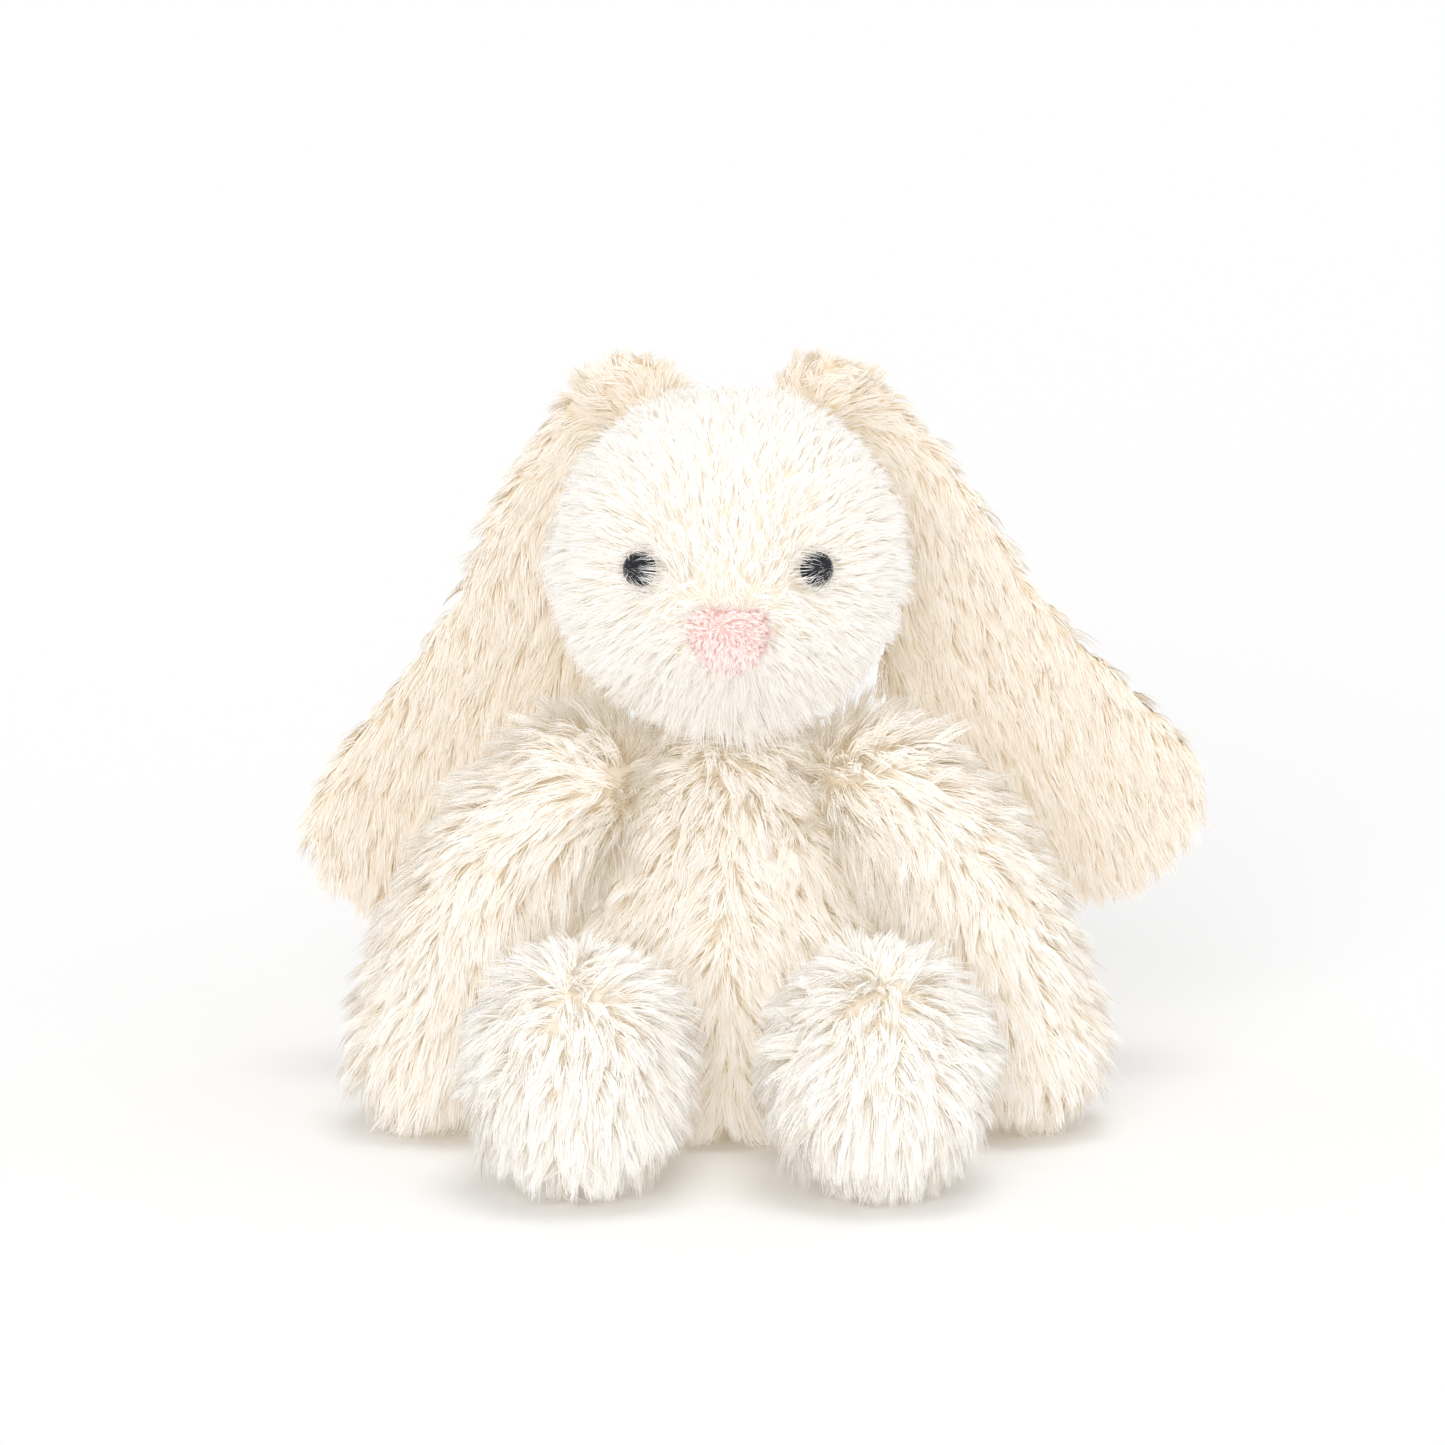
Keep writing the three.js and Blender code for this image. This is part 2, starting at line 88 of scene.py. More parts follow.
VIEW_HEIGHT = 13.0  # degrees above level
VIEW_DISTANCE = 3.6
VIEW_WIDTH = 0.340  # how much of the world the picture spans at the rabbit
VIEW_CENTRE = Vector(NECK) + Vector((-1.3, 0, -2.1)) * MM
SENSOR_WIDTH = 36  # in millimetres, as Blender counts a lens


def make_camera():
    camera = link("camera", bpy.data.cameras.new("camera"))
    angle = math.radians(VIEW_HEIGHT)
    back = Vector((0, -math.cos(angle), math.sin(angle)))
    camera.location = VIEW_CENTRE + back * VIEW_DISTANCE
    camera.rotation_euler = (-back).to_track_quat("-Z", "Y").to_euler()
    camera.data.sensor_width = SENSOR_WIDTH
    camera.data.lens = SENSOR_WIDTH * VIEW_DISTANCE / VIEW_WIDTH
    bpy.context.scene.camera = camera


# ---- Materials ----


def new_material(name):
    """A material, its nodes, its links and its surface shader."""
    material = bpy.data.materials.new(name)
    material.use_nodes = True
    nodes = material.node_tree.nodes
    return material, nodes, material.node_tree.links, nodes["Principled BSDF"]


def ramp(nodes, stops):
    """A colour ramp through several places and colours."""
    node = nodes.new("ShaderNodeValToRGB")
    elements = node.color_ramp.elements
    while len(elements) < len(stops):
        elements.new(0.5)
    for element, (place, colour) in zip(elements, stops):
        element.position = place
        element.color = (*colour, 1)
    return node


STRAND_SHADES = 24  # how many tints of pile share a fur map, side by side
PAINTED_GLOW_STRENGTH = 0.145  # painted glow: emission that stands in for light that fibres pass on to each other deep in the pile


def pile_material(name, root, middle, tip, spread, painted_glow_colour, sheen=0.15):
    """Pile whose colour runs from root to tip along V, darker and warmer at the root as painted shade deep in
    the pile, with a tint for each column of U.
    """
    material, nodes, links, shader = new_material(name)
    uv = nodes.new("ShaderNodeUVMap")
    uv.uv_map = "OFBake"
    split = nodes.new("ShaderNodeSeparateXYZ")
    links.new(uv.outputs["UV"], split.inputs[0])
    # Painted shade: the root colour is darker and warmer than the tip's, for the shade deep in the pile.
    along = ramp(nodes, [(0.0, root), (0.35, middle), (0.85, tip)])
    links.new(split.outputs["Y"], along.inputs["Fac"])
    columns = nodes.new("ShaderNodeMath")
    columns.operation = "MULTIPLY"
    columns.inputs[1].default_value = STRAND_SHADES
    links.new(split.outputs["X"], columns.inputs[0])
    column = nodes.new("ShaderNodeMath")
    column.operation = "FLOOR"
    links.new(columns.outputs[0], column.inputs[0])
    chance = nodes.new("ShaderNodeTexWhiteNoise")
    chance.noise_dimensions = "1D"
    links.new(column.outputs[0], chance.inputs["W"])
    tint = ramp(nodes, [(0.0, spread[0]), (0.5, (1, 1, 1)), (1.0, spread[1])])
    links.new(chance.outputs["Value"], tint.inputs["Fac"])
    mix = nodes.new("ShaderNodeMix")
    mix.data_type = "RGBA"
    mix.blend_type = "MULTIPLY"
    mix.inputs["Factor"].default_value = 1.0
    links.new(along.outputs["Color"], mix.inputs["A"])
    links.new(tint.outputs["Color"], mix.inputs["B"])
    links.new(mix.outputs["Result"], shader.inputs["Base Color"])
    shader.inputs["Roughness"].default_value = 0.8
    shader.inputs["Specular IOR Level"].default_value = 0.15
    shader.inputs["Sheen Weight"].default_value = sheen
    shader.inputs["Sheen Roughness"].default_value = 0.5
    # Painted glow: the pile emits a little warm light of its own, in place of light scattered between fibres.
    shader.inputs["Emission Color"].default_value = (*painted_glow_colour, 1)
    shader.inputs["Emission Strength"].default_value = PAINTED_GLOW_STRENGTH
    return material


def mottled_material(name, colour, shade, grain=900, roughness=0.95):
    """Cloth, fibre or moulded plastic whose tone varies a little from place to place."""
    is_cloth = roughness > 0.9
    material, nodes, links, shader = new_material(name)
    place = nodes.new("ShaderNodeTexCoord")
    noise = nodes.new("ShaderNodeTexNoise")
    noise.inputs["Scale"].default_value = grain
    noise.inputs["Detail"].default_value = 3
    links.new(place.outputs["Object"], noise.inputs["Vector"])
    tint = ramp(nodes, [(0.3, shade), (0.7, colour)])
    links.new(noise.outputs["Fac"], tint.inputs["Fac"])
    links.new(tint.outputs["Color"], shader.inputs["Base Color"])
    shader.inputs["Roughness"].default_value = roughness
    shader.inputs["Specular IOR Level"].default_value = 0.1 if is_cloth else 0.45
    return material


def bead_material():
    """Glossy dark moulded eye."""
    material, _, _, shader = new_material("black_bead")
    shader.inputs["Base Color"].default_value = (0.012, 0.014, 0.018, 1)
    shader.inputs["Roughness"].default_value = 0.12
    shader.inputs["Specular IOR Level"].default_value = 0.35
    return material


CREAM = pile_material(
    "cream_fur",
    root=(0.92, 0.865, 0.77),
    middle=(0.945, 0.92, 0.885),
    tip=(0.955, 0.948, 0.94),
    spread=((0.97, 0.945, 0.905), (1.0, 1.0, 1.0)),
    painted_glow_colour=(1.0, 0.91, 0.78),
)
WARM = pile_material(
    "warm_cream_fur",
    root=(0.905, 0.82, 0.68),
    middle=(0.955, 0.92, 0.87),
    tip=(0.965, 0.953, 0.94),
    spread=((0.96, 0.925, 0.87), (1.0, 1.0, 1.0)),
    painted_glow_colour=(1.0, 0.87, 0.68),
)
# Painted shade: a darker, warmer copy of the cream pile, for the ears' shade.
EAR_SHADED_FUR = pile_material(
    "ear_fur_painted_shade",
    root=(0.84, 0.72, 0.56),
    middle=(0.9, 0.85, 0.785),
    tip=(0.93, 0.9, 0.865),
    spread=((0.95, 0.905, 0.84), (1.0, 1.0, 1.0)),
    painted_glow_colour=(1.0, 0.84, 0.6),
)
VELVET = pile_material(
    "pink_velvet",
    root=(0.9, 0.69, 0.65),
    middle=(0.95, 0.845, 0.815),
    tip=(0.96, 0.9, 0.88),
    spread=((0.97, 0.92, 0.92), (1.0, 1.0, 1.0)),
    painted_glow_colour=(1.0, 0.74, 0.68),
)
# The backing's tan, darker than the pile, is partly the knit's own tone and partly painted shade in the gaps
# between locks.
BACKING = mottled_material("fur_backing", (0.92, 0.85, 0.73), (0.88, 0.79, 0.65))
PINK_BACKING = mottled_material("velvet_backing", (0.86, 0.6, 0.55), (0.78, 0.5, 0.46))
BEAD = bead_material()
WASHER = mottled_material("washer_plastic", (0.82, 0.8, 0.75), (0.78, 0.76, 0.7), 300, roughness=0.4)
FIBRE = mottled_material("loose_fibre", (0.95, 0.95, 0.92), (0.84, 0.84, 0.8), 250)
POUCH_WEAVE = mottled_material("pouch_weave", (0.8, 0.76, 0.66), (0.7, 0.65, 0.54), 1100)
PELLET = mottled_material("pellet", (0.88, 0.87, 0.82), (0.8, 0.79, 0.73), 200, roughness=0.35)

# ---- Meshes as arrays ----


def arrays_of(mesh):
    """Vertices, vertex normals and triangles of a mesh."""
    mesh.calc_loop_triangles()
    points = np.empty(len(mesh.vertices) * 3)
    mesh.vertices.foreach_get("co", points)
    normals = np.empty(len(mesh.vertices) * 3)
    mesh.vertices.foreach_get("normal", normals)
    triangles = np.empty(len(mesh.loop_triangles) * 3, np.int64)
    mesh.loop_triangles.foreach_get("vertices", triangles)
    return points.reshape(-1, 3), normals.reshape(-1, 3), triangles.reshape(-1, 3)


NO_TRIANGLES = np.empty((0, 3), np.int64)
NO_QUADS = np.empty((0, 4), np.int64)


def mesh_from(name, points, triangles, quads=NO_QUADS):
    """A smooth-shaded mesh of quads and triangles, in that order."""
    mesh = bpy.data.meshes.new(name)
    loops = np.concatenate([quads.ravel(), triangles.ravel()])
    counts = np.concatenate([np.full(len(quads), 4), np.full(len(triangles), 3)])
    starts = np.concatenate([[0], np.cumsum(counts)[:-1]])
    mesh.vertices.add(len(points))
    mesh.vertices.foreach_set("co", points.astype(np.float32).ravel())
    mesh.loops.add(len(loops))
    mesh.loops.foreach_set("vertex_index", loops.astype(np.int32))
    mesh.polygons.add(len(counts))
    mesh.polygons.foreach_set("loop_start", starts.astype(np.int32))
    mesh.update(calc_edges=True)
    mesh.polygons.foreach_set("use_smooth", np.ones(len(counts), bool))
    return mesh


def unit(vectors):
    """Vectors brought to a length of one."""
    return vectors / np.maximum(np.linalg.norm(vectors, axis=-1, keepdims=True), 1e-12)


def centre_of(node):
    """The middle of a CAD node's box."""
    low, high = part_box(node)
    return np.array((low + high) / 2)


# ---- Skins: the smooth outer shape of joined CAD solids ----


def evaluated(obj):
    """The mesh of obj with its modifiers on; obj itself is removed."""
    bpy.context.view_layer.update()
    depsgraph = bpy.context.evaluated_depsgraph_get()
    mesh = bpy.data.meshes.new_from_object(obj.evaluated_get(depsgraph))
    bpy.data.objects.remove(obj)
    return mesh


def keep_outer_shell(mesh):
    """Leaves only the largest connected part of a mesh."""
    work = bmesh.new()
    work.from_mesh(mesh)
    left = set(work.verts)
    best = []
    while left:
        stack = [left.pop()]
        part = []
        while stack:
            vert = stack.pop()
            part.append(vert)
            for edge in vert.link_edges:
                other = edge.other_vert(vert)
                if other in left:
                    left.remove(other)
                    stack.append(other)
        if len(part) > len(best):
            best = part
    keep = set(best)
    bmesh.ops.delete(work, geom=[v for v in work.verts if v not in keep], context="VERTS")
    work.to_mesh(mesh)
    work.free()


def skin_of(nodes, voxel=2.0 * MM, smooth=12, sink=3.0 * MM):
    """One closed smooth skin round several CAD nodes, sunk a little to leave room for the pile."""
    joined = bmesh.new()
    for node in nodes:
        joined.from_mesh(frame["nodes"][node].data)
    mesh = bpy.data.meshes.new("skin")
    joined.to_mesh(mesh)
    joined.free()
    obj = link("skin", mesh)
    remesh = obj.modifiers.new("remesh", "REMESH")
    remesh.mode = "VOXEL"
    remesh.voxel_size = voxel
    remesh.use_smooth_shade = True
    soften = obj.modifiers.new("soften", "SMOOTH")
    soften.factor = 0.5
    soften.iterations = smooth
    mesh = evaluated(obj)
    keep_outer_shell(mesh)
    points, normals, triangles = arrays_of(mesh)
    bpy.data.meshes.remove(mesh)
    points = points - normals * sink
    return points, normals, triangles


def puffed(skin, amount):
    """A skin pushed outwards by an amount that depends on the place."""
    points, normals, triangles = skin
    return points + normals * amount(points)[:, None], normals, triangles


# ---- Fur: locks of ribbons rooted in a skin ----

STATIONS = 4  # along a strand, root and tip included
VERTS_PER_STRAND = 2 * (STATIONS - 1) + 1  # two at each station and one at the tip
ALONG = np.linspace(0, 1, STATIONS)[None, :, None]  # how far along a strand each station is
SHORTEST_LOCK, LONGEST_LOCK = 0.7, 1.15  # of the pile's length
SHORTEST_STRAND, LONGEST_STRAND = 0.75, 1.05  # of its lock's length
LOCK_RADIUS = 0.75  # of the spacing between locks
LOCK_STRAY, STRAND_STRAY = 0.2, 0.15  # how far each turns from its comb by chance
PATCH = 8 * MM  # locks nearer each other than this lean about the same way
SWIRL = 26 * MM  # wider waves in the lie of the pile
WAVE_STRENGTH = 0.8
LENGTH_WAVE, LENGTH_WAVES_APART = 0.18, 10 * MM  # the pile's length varies by this share
LIFT_CHANCE, LIFT_WAVE, STRAND_LIFT_CHANCE = 0.14, 0.16, 0.08  # radians
LIFT_WAVES_APART = 7 * MM
CURL, CURL_TURNS = 0.03, 5  # a strand's sideways bow, as a share of its length, and how it turns
TIP_GATHER = 1.1  # how late along the strands a lock draws together
TWIST = 0.6  # radians: how far a ribbon turns about its length by chance
TAPER = 0.75  # how much narrower a ribbon is near its tip
THINNEST, THICKEST = 0.7, 1.25  # of the pile's width of strand
SKIN_SHADE, STRAND_SHADE, ROUND_SHADE = 0.55, 0.45, 0.35  # what a ribbon's shading normal follows
CLEAR_OF_FLOOR = 0.3 * MM


def scatter(points, normals, triangles, count):
    """Random places all over a skin, with their normals and triangles."""
    a, b, c = (points[triangles[:, k]] for k in range(3))
    area = np.linalg.norm(np.cross(b - a, c - a), axis=1) / 2
    edges = np.cumsum(area)
    chosen = np.searchsorted(edges, (np.arange(count) + RNG.random(count)) / count * edges[-1])
    chosen = np.minimum(chosen, len(triangles) - 1)
    u, v = RNG.random(count), RNG.random(count)
    flip = u + v > 1
    u, v = np.where(flip, 1 - u, u), np.where(flip, 1 - v, v)
    weights = np.stack([1 - u - v, u, v], axis=1)
    at = np.einsum("nk,nkx->nx", weights, points[triangles[chosen]])
    normal = unit(np.einsum("nk,nkx->nx", weights, normals[triangles[chosen]]))
    return at, normal, chosen


def area_of(points, triangles):
    """The area of a skin."""
    a, b, c = (points[triangles[:, k]] for k in range(3))
    return np.linalg.norm(np.cross(b - a, c - a), axis=1).sum() / 2


def drift(points, wavelength, seed):
    """A smooth random vector at each place, from a few waves of about one wavelength."""
    waves = np.random.default_rng(seed)
    total = np.zeros_like(points)
    for _ in range(6):
        direction = unit(waves.normal(size=3)) * 2 * math.pi / (wavelength * waves.uniform(0.7, 1.5))
        phase = waves.uniform(0, 2 * math.pi, 3)
        total += np.sin((points @ direction)[:, None] + phase)
    return total / 3


def along_surface(vectors, normals):
    """Vectors laid flat on a surface."""
    return vectors - normals * np.sum(vectors * normals, axis=1, keepdims=True)


@dataclass
class Pile:
    """How the fur of one part lies. comb and length are functions of the place."""

    comb: Callable
    length: Callable
    spacing: float = 2.1 * MM  # from lock to lock
    per_lock: int = 16  # strands
    lift: tuple = (62, 18)  # degrees off the skin, at the root and at the tip
    width: float = 0.3 * MM  # of a strand at its root
    gather: float = 0.62  # how far a lock's tips draw together
    messy: float = 0.35  # how far locks stray from the comb
    droop: float = 0.1  # how far a tip sags, as a share of its length
    uneven: float = 1.0  # how much the lift varies from lock to lock
    stand: Callable = lambda places: np.zeros(len(places))  # more lift in degrees, by place


def grow(skin, pile, seed):
    """Locks of strands on a skin: each strand's stations, root normal, root triangle and lock."""
    points, normals, triangles = skin
    locks = int(area_of(points, triangles) / pile.spacing**2)
    at, normal, triangle = scatter(points, normals, triangles, locks)
    comb = pile.comb(at, normal) + LOCK_STRAY * RNG.normal(size=at.shape)
    comb += pile.messy * (WAVE_STRENGTH * drift(at, PATCH, seed) + WAVE_STRENGTH * drift(at, SWIRL, seed + 1))
    comb = unit(along_surface(comb, normal))
    length = pile.length(at) * RNG.uniform(SHORTEST_LOCK, LONGEST_LOCK, locks)
    length *= 1 + LENGTH_WAVE * drift(at, LENGTH_WAVES_APART, seed + 2)[:, 0]
    lock = np.repeat(np.arange(locks), pile.per_lock)
    strands = len(lock)
    side = np.cross(normal, comb)
    angle = RNG.uniform(0, 2 * math.pi, strands)
    radius = LOCK_RADIUS * pile.spacing * np.sqrt(RNG.random(strands))
    offset = side[lock] * (np.cos(angle) * radius)[:, None] + comb[lock] * (np.sin(angle) * radius)[:, None]
    root = at[lock] + offset
    strand_comb = unit(comb[lock] + STRAND_STRAY * RNG.normal(size=root.shape))
    strand_length = length[lock] * RNG.uniform(SHORTEST_STRAND, LONGEST_STRAND, strands)
    steep, flat = (math.radians(value) for value in pile.lift)
    uneven = RNG.normal(0, LIFT_CHANCE, locks) + LIFT_WAVE * drift(at, LIFT_WAVES_APART, seed + 3)[:, 0]
    tilt = pile.uneven * uneven + np.radians(pile.stand(at))
    lock_line = strand_line(at, normal, comb, length, steep + tilt, flat + tilt)
    own_tilt = tilt[lock] + RNG.normal(0, STRAND_LIFT_CHANCE, strands)
    line = strand_line(root, normal[lock], strand_comb, strand_length, steep + own_tilt, flat + own_tilt)
    line += (lock_line[lock] - line) * pile.gather * ALONG**TIP_GATHER
    wave = RNG.uniform(0, 2 * math.pi, (strands, 1, 1))
    curl = (CURL * strand_length)[:, None, None]
    line += side[lock][:, None, :] * np.sin(ALONG * CURL_TURNS + wave) * ALONG * curl
    line[:, :, 2:] -= pile.droop * strand_length[:, None, None] * ALONG**2
    line[:, :, 2] = np.maximum(line[:, :, 2], CLEAR_OF_FLOOR)
    return line, normal[lock], triangle[lock], lock


def strand_line(root, normal, comb, length, steep, flat):
    """Stations of strands that leave the skin steeply and bend over towards the comb's direction."""
    line = np.empty((len(root), STATIONS, 3))
    line[:, 0] = root
    step = length[:, None] / (STATIONS - 1)
    for k in range(1, STATIONS):
        share = (k - 0.5) / (STATIONS - 1)
        angle = steep + (flat - steep) * share**0.8
        ahead = comb * np.cos(angle)[:, None] + normal * np.sin(angle)[:, None]
        line[:, k] = line[:, k - 1] + step * ahead
    return line


def ribbons(line, normal, width):
    """Vertices and normals of tapering ribbons, two at each station and one at the tip."""
    strands = len(line)
    ahead = np.empty_like(line)
    ahead[:, :-1] = line[:, 1:] - line[:, :-1]
    ahead[:, -1] = ahead[:, -2]
    ahead = unit(ahead)
    flat_side = unit(np.cross(ahead, normal[:, None, :]))
    up_side = np.cross(flat_side, ahead)
    twist = RNG.normal(0, TWIST, strands)[:, None, None]
    side = flat_side * np.cos(twist) + up_side * np.sin(twist)
    own_width = RNG.uniform(THINNEST, THICKEST, strands)[:, None, None]
    half = width / 2 * (1 - TAPER * ALONG**1.5) * own_width
    left = line + side * half
    right = line - side * half
    vertices = np.empty((strands, VERTS_PER_STRAND, 3))
    vertices[:, 0:-1:2] = left[:, :-1]
    vertices[:, 1:-1:2] = right[:, :-1]
    vertices[:, -1] = line[:, -1]
    # Shaded half as the skin below is, and rounded a little across the strand.
    facing = unit(SKIN_SHADE * normal[:, None, :] + STRAND_SHADE * up_side)
    shading = np.empty_like(vertices)
    shading[:, 0:-1:2] = unit(facing + ROUND_SHADE * side)[:, :-1]
    shading[:, 1:-1:2] = unit(facing - ROUND_SHADE * side)[:, :-1]
    shading[:, -1] = facing[:, -1]
    return vertices.reshape(-1, 3), shading.reshape(-1, 3)


def ribbon_faces(strands, first):
    """Quads up to the last station and a triangle at the tip, wound to face away from the skin."""
    base = first + np.arange(strands)[:, None] * VERTS_PER_STRAND
    quads = []
    for k in range(STATIONS - 2):
        quads.append(base + np.array([2 * k + 1, 2 * k, 2 * k + 2, 2 * k + 3]))
    last = 2 * (STATIONS - 2)
    tips = base + np.array([last + 1, last, last + 2])
    return np.stack(quads, axis=1).reshape(-1, 4), tips


def ribbon_uvs(strands, lock):
    """For each vertex of each strand, its tint's column across and its place from root to tip."""
    tint = (lock * 7 + RNG.integers(0, 5, strands)) % STRAND_SHADES
    u = (tint[:, None] + np.tile([0.3, 0.7], STATIONS)[:VERTS_PER_STRAND]) / STRAND_SHADES
    v = np.repeat(np.linspace(0.02, 0.98, STATIONS), 2)[:VERTS_PER_STRAND]
    return np.stack([u, np.broadcast_to(v, u.shape)], axis=-1).reshape(-1, 2)


def furry_piece(name, skin, faces, strands, pile, materials):
    """One object: some triangles of a skin, and strands; materials are the fur's and the skin's."""
    points, normals, _ = skin
    line, normal, lock = strands
    used, faces = np.unique(faces, return_inverse=True)
    faces = faces.reshape(-1, 3)
    hair, hair_normals = ribbons(line, normal, pile.width)
    quads, tips = ribbon_faces(len(line), len(used))
    mesh = mesh_from(name, np.concatenate([points[used], hair]), np.concatenate([faces, tips]), quads)
    is_skin = np.zeros(len(mesh.polygons), np.int32)
    is_skin[len(quads) : len(quads) + len(faces)] = 1
    mesh.polygons.foreach_set("material_index", is_skin)
    for material in materials:
        mesh.materials.append(material)
    uvs = np.concatenate([np.full((len(used), 2), 0.01), ribbon_uvs(len(line), lock)])
    corner = np.empty(len(mesh.loops), np.int32)
    mesh.loops.foreach_get("vertex_index", corner)
    layer = mesh.uv_layers.new(name="OFBake")
    layer.data.foreach_set("uv", uvs[corner].astype(np.float32).ravel())
    shading = np.concatenate([normals[used], hair_normals])
    mesh.normals_split_custom_set_from_vertices(shading.tolist())
    return link(name, mesh)


# ---- Which panel a place belongs to ----


def nearest_panel(panels, places):
    """For each place, the index of the nearest of several CAD nodes."""
    depsgraph = bpy.context.evaluated_depsgraph_get()
    trees = [BVHTree.FromObject(frame["nodes"][panel], depsgraph) for panel in panels]
    found = np.empty(len(places), np.int32)
    for i, place in enumerate(places):
        distances = [tree.find_nearest(place)[3] for tree in trees]
        found[i] = int(np.argmin(distances))
    return found


def dress(panels, skin, pile, seed, materials):
    """Makes a furry piece for each panel of one part, and returns the pieces."""
    points, _, triangles = skin
    centres = points[triangles].mean(axis=1)
    panel_of = nearest_panel(panels, centres)
    line, normal, triangle, lock = grow(skin, pile, seed)
    made = []
    for i, panel in enumerate(panels):
        chosen = panel_of[triangle] == i
        strands = (line[chosen], normal[chosen], lock[chosen])
        piece = furry_piece(f"{panel}_fur", skin, triangles[panel_of == i], strands, pile, materials)
        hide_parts(panel)
        made.append(piece)
    return made


# ---- How the fur lies on each part ----

NOSE_CENTRE = centre_of("nose_patch")
EYE_RADIUS = 4.2 * MM
EYE_DOME = 3.4 * MM  # how far the dome stands over the eye's rim
EYES = {side: centre_of(f"eye_{side}") + np.array([0, -3.5 * MM, 0]) for side in SIDES}  # on the face


def pull_from(points, centre, reach=None, calm=5 * MM):
    """Directions away from a centre: none right at it, and fading with distance if a reach is given."""
    away = points - centre
    distance = np.linalg.norm(away, axis=1, keepdims=True)
    strength = 1 if reach is None else np.exp(-((distance / reach) ** 2))
    return away / (distance + calm) * strength


def head_comb(points, normals):
    """Away from the nose and from each eye, and down at the back of the head."""
    eye_pull, eye_reach, head_depth = 1.3, 15 * MM, 60 * MM
    comb = pull_from(points, NOSE_CENTRE)
    for eye in EYES.values():
        comb += eye_pull * pull_from(points, eye, eye_reach)
    behind = np.clip((points[:, 1:2] - NOSE_CENTRE[1]) / head_depth, 0, 1)
    return comb + DOWN * behind**2


def head_length(points):
    """Short pile round the nose and the eyes, and a tuft that hangs from the chin."""
    from_nose = np.linalg.norm(points - NOSE_CENTRE, axis=1)
    from_eye = np.min([np.linalg.norm(points - eye, axis=1) for eye in EYES.values()], axis=0)
    nose_reach, eye_reach, half_tuft = 30 * MM, 18 * MM, 15 * MM
    clear = np.minimum(from_nose / nose_reach, from_eye / eye_reach)
    length = (4.2 + 2.8 * np.clip(clear, 0, 1)) * MM
    ahead = np.clip((NECK[1] - points[:, 1]) / (30 * MM), 0, 1)
    low = np.clip((NOSE_CENTRE[2] - 6 * MM - points[:, 2]) / (22 * MM), 0, 1)
    centred = np.exp(-(((points[:, 0] - NOSE_CENTRE[0]) / half_tuft) ** 2))
    jaw, tuft = 5, 13
    return length + (jaw + tuft * centred) * MM * low * ahead


def torso_comb(points, normals):
    """Down, and parted to both sides along the seam of the belly."""
    parting, belly_height = 8 * MM, 60 * MM
    seam = (points[:, 0:1] - NECK[0]) / parting
    low = np.clip((NECK[2] - points[:, 2:3]) / belly_height, 0, 1)
    outward = np.tanh(2 * seam) * np.exp(-(seam**2)) * (0.3 + 0.7 * low)
    comb = np.zeros_like(points) + DOWN
    comb[:, 0:1] += outward + 0.25 * np.clip(seam / 4, -1, 1)
    return comb


def along_limb(start, end, source):
    """Fur that flows from a source over a limb's root and then along the limb."""
    axis = unit(end - start)

    def comb(points, normals):
        done = np.clip((points - start) @ axis / (30 * MM), 0, 1)[:, None]
        return unit(points - source) * (1 - done) + axis * done + 0.4 * DOWN

    return comb


def foot_comb(whorl, start):
    """Fur that spreads from a whorl on top of a foot."""

    def comb(points, normals):
        return pull_from(points, whorl) + 0.35 * DOWN + 0.1 * unit(points - start)

    return comb


def near(place, reach, amount):
    """An amount that fades away from a place."""
    return lambda points: amount * np.exp(-np.sum((points - place) ** 2, axis=1) / reach**2)


def even(length):
    """The same length all over."""
    return lambda points: np.full(len(points), length)


BODY_PILE = 10.5 * MM  # the length of the fur on the torso, the arms and the legs
EAR_PILE = 8.5 * MM
ARM_BEND = 32 * MM
LEG_BEND = 20 * MM


def make_head():
    panels = ["head_gusset", "head_side_left", "head_side_right"]
    pile = Pile(
        head_comb,
        head_length,
        spacing=1.6 * MM,
        per_lock=10,
        lift=(56, 22),
        width=0.24 * MM,
        gather=0.45,
        messy=0.22,
        droop=0.16,
        uneven=0.6,
    )
    skin = skin_of([*panels, "head_stuffing"])
    for piece in dress(panels, skin, pile, 11, (CREAM, BACKING)):
        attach(piece, "head")


def make_torso():
    panels = [f"torso_{face}_{side}" for face in ("front", "back") for side in SIDES]
    collar = np.array([NECK[0], NECK[1] - 6 * MM, NECK[2] - 4 * MM])
    pile = Pile(
        torso_comb,
        lambda points: BODY_PILE + near(collar, 20 * MM, 4 * MM)(points),
        lift=(60, 20),
        width=0.33 * MM,
        stand=near(collar, 20 * MM, 16),
    )
    skin = puffed(skin_of([*panels, "torso_stuffing"]), near(collar, 22 * MM, 5 * MM))
    for piece in dress(panels, skin, pile, 23, (WARM, BACKING)):
        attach(piece, "torso")


def paw_place(side):
    """The middle of an arm's far end, down on the floor."""
    shoulder = joint_place(f"arm_{side}_raise")
    low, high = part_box(f"arm_outer_{side}")
    outwards = SIDES[side] * 9 * MM
    return np.array([(low.x + high.x) / 2 + outwards, shoulder[1], low.z])


def shoulder_bend(side):
    """Where an arm's cloth starts and ends bending at the shoulder."""
    shoulder = joint_place(f"arm_{side}_raise")
    return shoulder, shoulder + unit(paw_place(side) - shoulder) * ARM_BEND


def hip_bend(side):
    """Where a leg's cloth starts and ends bending at the hip."""
    hip = joint_place(f"leg_{side}_lift")
    return hip, hip + np.array([0, -LEG_BEND, 0])


